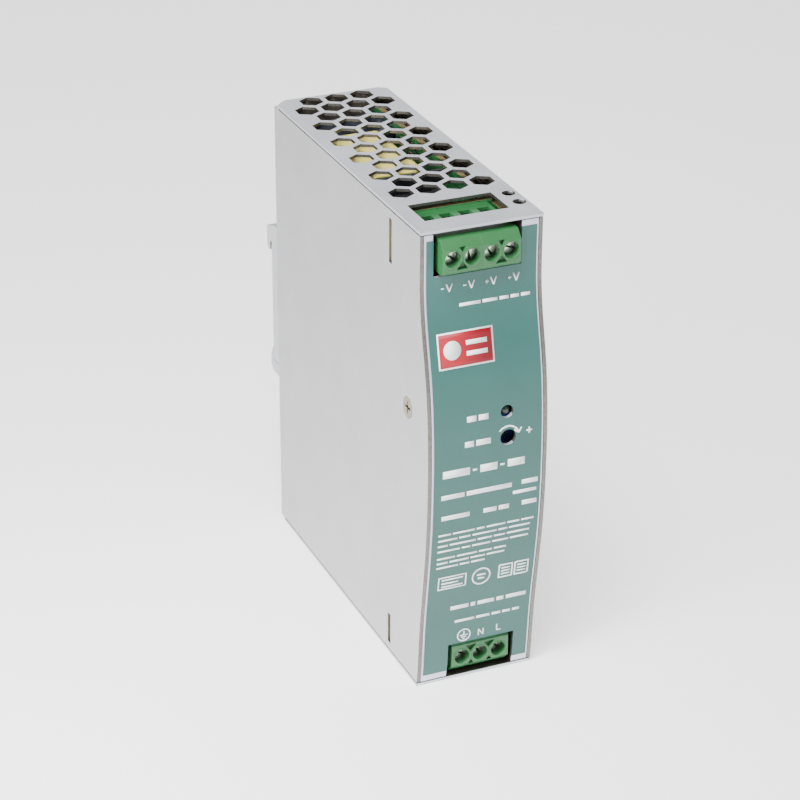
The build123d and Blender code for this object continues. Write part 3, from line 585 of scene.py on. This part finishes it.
class Artwork:
    """Flat marks drawn in the XZ plane in millimetres, then laid on the film as one ink layer."""

    def __init__(self):
        self.bm = bmesh.new()

    def bar(self, x0, x1, z, height):
        """An upright rectangle from x0 to x1, centred on z."""
        self.stroke([(x0, z), (x1, z)], height)

    def stroke(self, points, width):
        """A line of that width along straight runs."""
        for (xa, za), (xb, zb) in zip(points, points[1:]):
            run = math.hypot(xb - xa, zb - za)
            turn = Matrix.Rotation(-math.atan2(zb - za, xb - xa), 4, "Y")
            matrix = (
                Matrix.Translation(((xa + xb) / 2 * MM, 0, (za + zb) / 2 * MM)) @ turn
                @ Matrix.Rotation(math.pi / 2, 4, "X") @ Matrix.Diagonal((run * MM, width * MM, 1, 1))
            )
            bmesh.ops.create_grid(self.bm, x_segments=1, y_segments=1, size=0.5, matrix=matrix)

    def ring(self, x, z, radius, width, start=0.0, sweep=360.0):
        """A ring or an arc, counted in degrees from +X towards +Z."""
        angle = math.radians(start)
        ends = []
        for reach in (radius - width / 2, radius + width / 2):
            ends.append(self.bm.verts.new((
                (x + reach * math.cos(angle)) * MM, 0, (z + reach * math.sin(angle)) * MM)))
        edge = self.bm.edges.new(ends)
        bmesh.ops.spin(
            self.bm, geom=[*ends, edge], cent=(x * MM, 0, z * MM), axis=(0, -1, 0),
            angle=math.radians(sweep), steps=max(6, round(sweep / 12)), use_merge=sweep == 360.0,
        )

    def disc(self, x, z, radius):
        """A filled circle."""
        matrix = Matrix.Translation((x * MM, 0, z * MM)) @ Matrix.Rotation(math.pi / 2, 4, "X")
        bmesh.ops.create_circle(self.bm, cap_ends=True, segments=28, radius=radius * MM, matrix=matrix)

    def outline(self, x0, x1, z0, z1, width):
        """A rectangular line, drawn inside its corners."""
        half = width / 2
        self.stroke([(x0, z0 + half), (x1, z0 + half)], width)
        self.stroke([(x0, z1 - half), (x1, z1 - half)], width)
        self.stroke([(x0 + half, z0 + width), (x0 + half, z1 - width)], width)
        self.stroke([(x1 - half, z0 + width), (x1 - half, z1 - width)], width)

    def words(self, x, z, lengths, height, gap=0.6):
        """Plain bars in place of words, one after the other."""
        for run in lengths:
            self.bar(x, x + run, z, height)
            x += run + gap

    def lay(self, name, material, lift, thickness):
        """Bends the marks onto the film, standing proud of it by lift."""
        surface = film_outline()
        bottom, top = surface[0][0], surface[-1][0]
        step = 1.5 * MM
        for level in range(1, int((top - bottom) / step)):
            bmesh.ops.bisect_plane(
                self.bm, geom=[*self.bm.verts, *self.bm.edges, *self.bm.faces],
                plane_co=(0, 0, bottom + level * step), plane_no=(0, 0, 1),
            )
        for vert in self.bm.verts:
            below = max(i for i in range(len(surface) - 1) if i == 0 or surface[i][0] <= vert.co.z)
            (z0, y0), (z1, y1) = surface[below], surface[below + 1]
            share = (vert.co.z - z0) / (z1 - z0)
            vert.co.y = y0 + (y1 - y0) * share - lift
        self.bm.normal_update()
        bmesh.ops.reverse_faces(self.bm, faces=[f for f in self.bm.faces if f.normal.y > 0])
        piece = add_piece(self.bm, name, [material], weighted=False)
        solid = piece.modifiers.new("Ink thickness", "SOLIDIFY")
        solid.thickness = thickness
        solid.offset = -1.0
        return piece


def draw_white_marks(art):
    """Everything printed in white: terminal marks, captions, rating lines and outlines."""
    for x, positive in ((-9.0, False), (-3.2, False), (2.6, True), (8.6, True)):
        art.stroke([(x - 1.6, 109.9), (x - 0.8, 109.9)], 0.28)
        if positive:
            art.stroke([(x - 1.2, 109.5), (x - 1.2, 110.3)], 0.28)
        art.stroke([(x - 0.2, 110.9), (x + 0.55, 108.9), (x + 1.3, 110.9)], 0.32)
    art.words(-6.0, 105.2, [5.6, 3.9, 2.4, 2.2, 2.4], 0.8, 0.55)

    art.words(-5.7, 76.8, [2.5, 2.6], 1.5)
    art.words(-6.3, 70.2, [2.4, 3.9], 1.5)
    art.stroke([(10.2, 71.0), (11.8, 71.0)], 0.4)
    art.stroke([(11.0, 70.2), (11.0, 71.8)], 0.4)
    art.ring(5.3, 70.1, 3.0, 0.42, 20.0, 120.0)
    art.stroke([(8.9, 72.2), (8.1, 70.9), (7.0, 71.9)], 0.42)

    art.bar(-12.1, -4.9, 63.0, 2.0)
    art.bar(-4.1, -2.9, 63.0, 0.5)
    art.bar(-2.1, 2.5, 63.0, 2.0)
    art.bar(3.3, 4.5, 63.0, 0.5)
    art.bar(5.3, 9.9, 63.0, 2.0)
    art.words(-12.4, 56.7, [6.2, 12.2], 1.25)
    art.words(9.3, 56.9, [4.4], 1.25)
    art.words(7.0, 54.3, [6.4], 0.9)
    art.words(-12.2, 50.8, [7.6], 1.25)
    art.words(-0.9, 50.8, [3.6, 2.8], 1.25)
    art.words(9.6, 50.9, [4.0], 1.25)
    small_lines = (
        (45.9, (3.4, 6.0, 2.2, 5.1, 3.3, 3.5)), (44.3, (5.2, 3.1, 6.6, 2.4, 5.8)),
        (42.7, (2.7, 7.1, 4.0, 3.0, 6.2)), (41.1, (6.1, 2.3, 5.0, 4.4, 5.0)),
        (38.9, (4.9, 5.5, 3.6, 3.4)), (37.5, (3.0, 5.2, 4.0, 4.8)), (36.1, (5.9, 2.6, 3.7)),
    )
    for z, lengths in small_lines:
        art.words(-12.8, z, lengths, 0.5, 0.5)

    art.outline(-12.0, -4.2, 29.0, 33.0, 0.35)
    for z, run in ((32.0, 5.8), (30.9, 4.6), (29.9, 5.8)):
        art.bar(-11.0, -11.0 + run, z, 0.45)
    art.ring(-0.1, 30.9, 2.4, 0.4)
    art.words(-1.3, 31.4, [2.4], 0.5)
    art.words(-1.0, 30.3, [1.8], 0.5)
    art.outline(4.6, 8.6, 29.0, 33.2, 0.4)
    for z in (32.0, 31.1, 30.2):
        art.words(5.4, z, [2.4], 0.4)
    art.outline(9.0, 13.0, 29.0, 33.2, 0.4)
    for z in (32.0, 31.1, 30.2):
        art.words(9.8, z, [2.4], 0.4)
    art.words(-7.9, 22.5, [5.0, 1.2, 4.6, 2.0, 5.6], 1.15, 0.65)
    art.words(-6.4, 18.0, [5.4, 3.8, 2.4, 2.2, 2.0], 0.75, 0.55)

    art.ring(-3.6, 13.2, 1.75, 0.35)
    art.stroke([(-3.6, 14.4), (-3.6, 13.2)], 0.35)
    for z, half in ((13.2, 1.1), (12.6, 0.75), (12.0, 0.4)):
        art.stroke([(-3.6 - half, z), (-3.6 + half, z)], 0.3)
    art.stroke([(0.5, 12.1), (0.5, 14.0), (1.8, 12.1), (1.8, 14.0)], 0.32)
    art.stroke([(5.6, 14.3), (5.6, 12.5), (6.8, 12.5)], 0.32)


class PSU_OT_film(PieceOperator, bpy.types.Operator):
    """Printed film on the front panel, with plain bars and generic marks for its printing"""

    bl_idname = "psu.film"
    bl_label = "Front film and printing"

    def make(self, scene):
        settings = scene.psu_film
        ink = settings.ink_height
        white = screen_printing_ink("white_screen_ink", settings.ink_colour)
        red = screen_printing_ink("red_screen_ink", settings.badge_colour)
        keep_node("front_label", printed_polyester_film(settings.film_colour))
        marks = Artwork()
        draw_white_marks(marks)
        marks.lay("white_printing", white, ink, 1.5 * ink)
        edging = Artwork()
        edging.bar(-12.4, 2.3, 94.6, 8.8)
        edging.lay("badge_edging", white, ink, 1.5 * ink)
        badge = Artwork()
        badge.bar(-12.0, 1.9, 94.6, 8.0)
        badge.lay("badge_block", red, 2 * ink, ink)
        emblem = Artwork()
        emblem.disc(-8.6, 94.6, 2.3)
        emblem.bar(-4.9, 0.6, 95.9, 1.1)
        emblem.bar(-4.9, 0.6, 93.3, 1.1)
        emblem.lay("badge_emblem", white, 3 * ink, ink)


class PSU_OT_controls(PieceOperator, bpy.types.Operator):
    """Indicator lamp and voltage trimmer behind the front"""

    bl_idname = "psu.controls"
    bl_label = "Lamp and trimmer"

    def make(self, scene):
        lens = dipped_epoxy("cast_epoxy_lamp", "17251f")
        legs = plated_metal("tinned_lamp_legs", linear("c9c9c6"), 0.3)
        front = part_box("status_led")[0].y
        lamp_end = front + 5.2 * MM

        def pick(centre, normal):
            return 1 if centre.y > lamp_end else 0

        rounded_node("status_led", "indicator_lamp", 0, [lens, legs], pick=pick)
        case = moulded_polyamide("moulded_trimmer_case", linear("2456a6"), 0.35)
        rotor = moulded_polyamide("moulded_trimmer_rotor", linear("26262a"), 0.4)
        rounded_node("trimmer_body", "trimmer_case", 0.15 * MM, [case])
        rounded_node(
            "trimmer_rotor", "trimmer_screw", 0.1 * MM, [rotor], body="trimmer_rotor"
        )


# ---------------------------------------------------------------- terminals

class PSU_OT_terminals(PieceOperator, bpy.types.Operator):
    """Green terminal housings with beads round their screw holes, screws, clamps and contacts"""

    bl_idname = "psu.terminals"
    bl_label = "Screw terminals"

    def make(self, scene):
        settings = scene.psu_terminals
        green = moulded_polyamide("moulded_green_polyamide", settings.housing_colour)
        nickel = plated_metal("nickel_plated_steel", linear("d8d5cf"), 0.2)
        steel = plated_metal("passivated_clamp_steel", linear("76736c"), 0.4)
        brass = plated_metal("tinned_brass", linear("8f8a78"), 0.4)
        for node in ("dc_terminal_left", "dc_terminal_right", "ac_terminal"):
            rounded_node(node, f"{node}_housing", settings.edge_radius, [green])
        for node in ("dc_contacts", "ac_contacts"):
            rounded_node(node, f"{node}_strip", 0.08 * MM, [brass])
        rims = bmesh.new()
        for kind, count, face in (("dc", 4, "dc_terminal_left"), ("ac", 3, "ac_terminal")):
            for number in range(1, count + 1):
                names = f"{kind}_screw_{number}", f"{kind}_clamp_{number}"
                self.make_pole(rims, *names, face, settings, nickel, steel)
        bmesh.ops.recalc_face_normals(rims, faces=rims.faces)
        add_piece(rims, "screw_hole_rims", [green])

    def make_pole(self, rims, screw, clamp, face, settings, nickel, steel):
        """One screw with its thread, its clamp, and the bead round its hole."""
        rounded_node(screw, f"{screw}_head", 0.12 * MM, [nickel], body=screw)
        rounded_node(clamp, f"{clamp}_cage", 0.2 * MM, [steel], body=clamp)
        low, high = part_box(screw)
        centre = (low + high) / 2
        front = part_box(face)[0].y
        bead = []
        for step in range(5):
            angle = math.pi * step / 4
            reach = settings.rim_middle + settings.rim_radius * math.cos(angle)
            depth = front + 0.02 * MM - settings.rim_radius * math.sin(angle)
            bead.append((centre.x + reach, depth, centre.z))
        turned(rims, bead, (centre.x, front, centre.z), (0, 1, 0), 40)


# ---------------------------------------------------------------- boards

class PSU_OT_boards(PieceOperator, bpy.types.Operator):
    """Main board, the two terminal boards, their small parts and solder joints"""

    bl_idname = "psu.boards"
    bl_label = "Circuit boards"

    def make(self, scene):
        rgba = scene.psu_inside.board_colour
        edge = bare_laminate()
        thin = 0.04 * MM
        rounded_node(
            "main_board", "main_circuit_board", thin, [solder_masked_board(rgba, "Y", "Z"), edge],
            pick=lambda centre, normal: 0 if abs(normal.x) > 0.5 else 1,
        )
        small = solder_masked_board(rgba, "X", "Z")
        for node in ("output_board", "input_board"):
            rounded_node(
                node, f"{node}_card", thin, [small, edge],
                pick=lambda centre, normal: 0 if abs(normal.y) > 0.5 else 1,
            )
        self.make_chips()
        self.make_solder()
        keep_node("insulation_sheet", shrunk_sleeve("slit_polyester_insulation", linear("38342c")))

    def make_chips(self):
        """Rows of chip resistors and capacitors on the main board's component side."""
        ceramic = moulded_polyamide("fired_chip_ceramic", linear("6e5a45"), 0.5)
        black = moulded_polyamide("glazed_resistor_film", linear("17171a"), 0.3)
        tin = plated_metal("tinned_chip_ends", linear("cfd0cc"), 0.3)
        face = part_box("main_board")[0].x
        bm = bmesh.new()
        long, wide, thick = 2.0 * MM, 1.25 * MM, 0.6 * MM
        rows = [(y * MM, z * MM) for y in (-24.5, -20.5, 12.5, 16.0) for z in (101.5, 105.0, 117.5, 120.5)]
        rows += [(y * MM, z * MM) for y in (21.5, 26.0, 30.5) for z in (94.0, 97.5, 101.0, 119.5)]
        rows += [(y * MM, z * MM) for y in (-8.0, -3.5, 1.0) for z in (70.0, 74.0, 93.5)]
        body, end = long * 0.3, long * 0.5
        for index, (y, z) in enumerate(rows):
            low, high = z - wide / 2, z + wide / 2
            add_block(bm, (face - thick, y - body, low), (face, y + body, high), index % 2)
            for side in (-1, 1):
                near, far = sorted((y + side * body, y + side * end))
                add_block(
                    bm, (face - thick * 1.05, near, z - wide * 0.52), (face, far, z + wide * 0.52), 2
                )
        round_edges(bm, 0.05 * MM)
        add_piece(bm, "chip_components", [ceramic, black, tin])

    def make_solder(self):
        """Solder cones on the far side of the main board, under the parts' legs."""
        tin = plated_metal("reflowed_solder", linear("c7c8c6"), 0.22)
        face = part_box("main_board")[1].x
        bm = bmesh.new()
        for y in range(-40, 30, 7):
            for z in range(12, 122, 9):
                shift = 1.7 * math.sin(1.3 * y + 0.7 * z)
                centre = (face, (y + shift) * MM, (z - shift) * MM)
                cone = [
                    (centre[0], centre[1] + 0.95 * MM, centre[2]),
                    (centre[0] + 0.25 * MM, centre[1] + 0.55 * MM, centre[2]),
                    (centre[0] + 0.8 * MM, centre[1] + 0.3 * MM, centre[2]),
                    (centre[0] + 1.1 * MM, centre[1], centre[2]),
                ]
                turned(bm, cone, centre, (1, 0, 0), 10)
        bmesh.ops.remove_doubles(bm, verts=bm.verts, dist=WELD)
        bmesh.ops.recalc_face_normals(bm, faces=bm.faces)
        add_piece(bm, "solder_joints", [tin], crease=80.0)


# ---------------------------------------------------------------- components

class PSU_OT_transformer(PieceOperator, bpy.types.Operator):
    """Transformer: ferrite halves, bobbin and taped winding"""

    bl_idname = "psu.transformer"
    bl_label = "Transformer"

    def make(self, scene):
        ferrite = sintered_ferrite()
        black = moulded_polyamide("moulded_bobbin", linear("1b1b1e"), 0.45)
        tape = wound_tape(scene.psu_inside.tape_colour)
        rounded_node("transformer_core", "ferrite_halves", 0.35 * MM, [ferrite])
        rounded_node("transformer_bobbin", "bobbin", 0.15 * MM, [black])
        rounded_node("transformer_winding", "taped_winding", 0.25 * MM, [tape])


class PSU_OT_chokes(PieceOperator, bpy.types.Operator):
    """Line choke and output choke: coated ring cores with copper turns"""

    bl_idname = "psu.chokes"
    bl_label = "Chokes"

    def make(self, scene):
        copper = enamelled_copper()
        green = dipped_epoxy("coated_ring_core_green", "3f6b4a")
        yellow = dipped_epoxy("coated_ring_core_yellow", "c7a63c")
        black = moulded_polyamide("moulded_choke_base", linear("1e1e21"), 0.5)
        keep_node("line_choke_core", green)
        keep_node("output_choke_core", yellow)
        rounded_node("line_choke_base", "choke_base", 0.2 * MM, [black])
        rounded_node("line_choke_windings", "line_choke_turns", 0.22 * MM, [copper])
        rounded_node("output_choke_winding", "output_choke_turns", 0.22 * MM, [copper])


class PSU_OT_capacitors(PieceOperator, bpy.types.Operator):
    """Electrolytic cans, film capacitor and dipped discs"""

    bl_idname = "psu.capacitors"
    bl_label = "Capacitors"

    def make(self, scene):
        rgba = scene.psu_inside.sleeve_colour
        sleeve = shrunk_sleeve("shrunk_pvc_sleeve", rgba)
        top = plated_metal("drawn_aluminium_can", linear("c9cbcf"), 0.3)
        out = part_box("output_capacitors")[0].x
        rounded_node(
            "output_capacitors", "output_cans", 0.35 * MM, [sleeve, top],
            pick=lambda centre, normal: 1 if centre.x < out + 0.2 * MM else 0,
        )
        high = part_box("bulk_capacitor")[1].z
        rounded_node(
            "bulk_capacitor", "reservoir_can", 0.4 * MM, [sleeve, top],
            pick=lambda centre, normal: 1 if centre.z > high - 0.2 * MM else 0,
        )
        film = dipped_epoxy("potted_film_capacitor", "d9b93a")
        rounded_node("x_capacitor", "film_capacitor", 0.4 * MM, [film])
        keep_node("y_capacitors", dipped_epoxy("dipped_disc_blue", "2d5ea8"))
        keep_node("inrush_thermistor", dipped_epoxy("dipped_disc_green", "39603f"))


class PSU_OT_power_parts(PieceOperator, bpy.types.Operator):
    """Heat sinks, transistor, rectifiers, controller, couplers and fuse"""

    bl_idname = "psu.power_parts"
    bl_label = "Power parts"

    def make(self, scene):
        sink = rolled_aluminium("extruded_heat_sink", linear("b4b7bb"), "X", 0.34)
        black = moulded_polyamide("transfer_moulded_epoxy", linear("1c1c1f"), 0.5)
        ceramic = moulded_polyamide("fired_fuse_body", linear("d8d2c2"), 0.35)
        nickel = plated_metal("nickel_fuse_cap", linear("d2d0ca"), 0.22)
        for node in ("primary_heat_sink", "output_heat_sink"):
            rounded_node(node, f"{node}_plate", 0.25 * MM, [sink])
        for node in (
            "switching_transistor", "output_rectifier", "bridge_rectifier", "control_chip", "optocouplers",
        ):
            rounded_node(node, f"{node}_package", 0.12 * MM, [black])
        low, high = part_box("fuse")
        cap = 5.0 * MM
        rounded_node(
            "fuse", "cartridge_fuse", 0.15 * MM, [ceramic, nickel],
            pick=lambda centre, normal: 0 if low.z + cap < centre.z < high.z - cap else 1,
        )


# ---------------------------------------------------------------- studio

class PSU_OT_studio(PieceOperator, bpy.types.Operator):
    """Pale floor, soft lights and the camera"""

    bl_idname = "psu.studio"
    bl_label = "Studio"

    def make(self, scene):
        settings = scene.psu_studio
        self.make_floor(scene, settings)
        self.make_sky(scene, settings)
        middle = (CAD_BOX[0] + CAD_BOX[1]) / 2
        beside = Vector((-0.06, -0.03, 0))
        self.make_softbox(scene, "key_softbox", (-0.25, -0.3, 0.85), 0.35, settings.key_power, middle)
        self.make_softbox(scene, "top_softbox", (0.45, 1.1, 0.75), 0.7, settings.top_power, middle)
        self.make_softbox(scene, "fill_softbox", (0.5, -1.2, 0.5), 0.8, settings.fill_power, middle)
        self.make_softbox(scene, "floor_softbox", (-0.2, -0.1, 0.2), 0.1, settings.pool_power, beside)
        self.make_camera(scene, settings)

    def make_floor(self, scene, settings):
        """A wide sheet of paper just under the case."""
        bm = bmesh.new()
        bmesh.ops.create_grid(bm, x_segments=8, y_segments=8, size=4.0)
        mesh = bpy.data.meshes.new("studio_floor")
        bm.to_mesh(mesh)
        bm.free()
        mesh.materials.append(seamless_paper(settings.floor_colour, settings.floor_glow))
        floor = bpy.data.objects.new("studio_floor", mesh)
        scene.collection.objects.link(floor)

    def make_sky(self, scene, settings):
        """Even white light from all sides."""
        sky = bpy.data.worlds.new("studio_sky")
        sky.use_nodes = True
        background = sky.node_tree.nodes["Background"]
        background.inputs["Color"].default_value = (1.0, 1.0, 1.0, 1.0)
        background.inputs["Strength"].default_value = settings.sky_strength
        scene.world = sky

    def make_softbox(self, scene, name, place, size, power, target):
        """A square soft light that faces a target."""
        lamp = bpy.data.lights.new(name, "AREA")
        lamp.size = size
        lamp.energy = power
        box = bpy.data.objects.new(name, lamp)
        box.location = place
        box.rotation_euler = (target - box.location).to_track_quat("-Z", "Y").to_euler()
        scene.collection.objects.link(box)

    def make_camera(self, scene, settings):
        """A long lens, up and to the left of the front."""
        lens = bpy.data.cameras.new("camera")
        lens.lens = settings.focal
        lens.sensor_width = 36.0
        lens.clip_start = 0.01
        camera = bpy.data.objects.new("camera", lens)
        back = Euler((-settings.elevation, 0, settings.azimuth)).to_matrix() @ Vector((0, -1, 0))
        aim = (-back).to_track_quat("-Z", "Y").to_matrix() @ Matrix.Rotation(settings.roll, 3, "Z")
        camera.rotation_euler = aim.to_euler()
        camera.location = CAMERA_TARGET + back * settings.distance
        scene.collection.objects.link(camera)
        scene.camera = camera


# ---------------------------------------------------------------- add-on

OPERATORS = (
    PSU_OT_case,
    PSU_OT_fasteners,
    PSU_OT_rail_clip,
    PSU_OT_film,
    PSU_OT_controls,
    PSU_OT_terminals,
    PSU_OT_boards,
    PSU_OT_transformer,
    PSU_OT_chokes,
    PSU_OT_capacitors,
    PSU_OT_power_parts,
    PSU_OT_studio,
)
SETTINGS = {
    "psu_case": CaseSettings,
    "psu_film": FilmSettings,
    "psu_terminals": TerminalSettings,
    "psu_inside": InsideSettings,
    "psu_studio": StudioSettings,
}


class PSU_PT_panel(bpy.types.Panel):
    """Lists the pieces of the power supply and their settings"""

    bl_idname = "PSU_PT_panel"
    bl_label = "Power Supply"
    bl_space_type = "VIEW_3D"
    bl_region_type = "UI"
    bl_category = "Power Supply"

    def draw(self, context):
        for name, group in SETTINGS.items():
            box = self.layout.box()
            box.label(text=group.__doc__)
            for setting in group.__annotations__:
                box.prop(getattr(context.scene, name), setting)
        for operator in OPERATORS:
            self.layout.operator(operator.bl_idname)


def register():
    for group in SETTINGS.values():
        bpy.utils.register_class(group)
    for name, group in SETTINGS.items():
        setattr(bpy.types.Scene, name, PointerProperty(type=group))
    for operator in OPERATORS:
        bpy.utils.register_class(operator)
    bpy.utils.register_class(PSU_PT_panel)


def unregister():
    bpy.utils.unregister_class(PSU_PT_panel)
    for operator in reversed(OPERATORS):
        bpy.utils.unregister_class(operator)
    for name, group in SETTINGS.items():
        delattr(bpy.types.Scene, name)
        bpy.utils.unregister_class(group)


def main():
    """Makes every piece in order."""
    register()
    for operator in OPERATORS:
        group, action = operator.bl_idname.split(".")
        getattr(getattr(bpy.ops, group), action)()


if __name__ == "__main__":
    main()
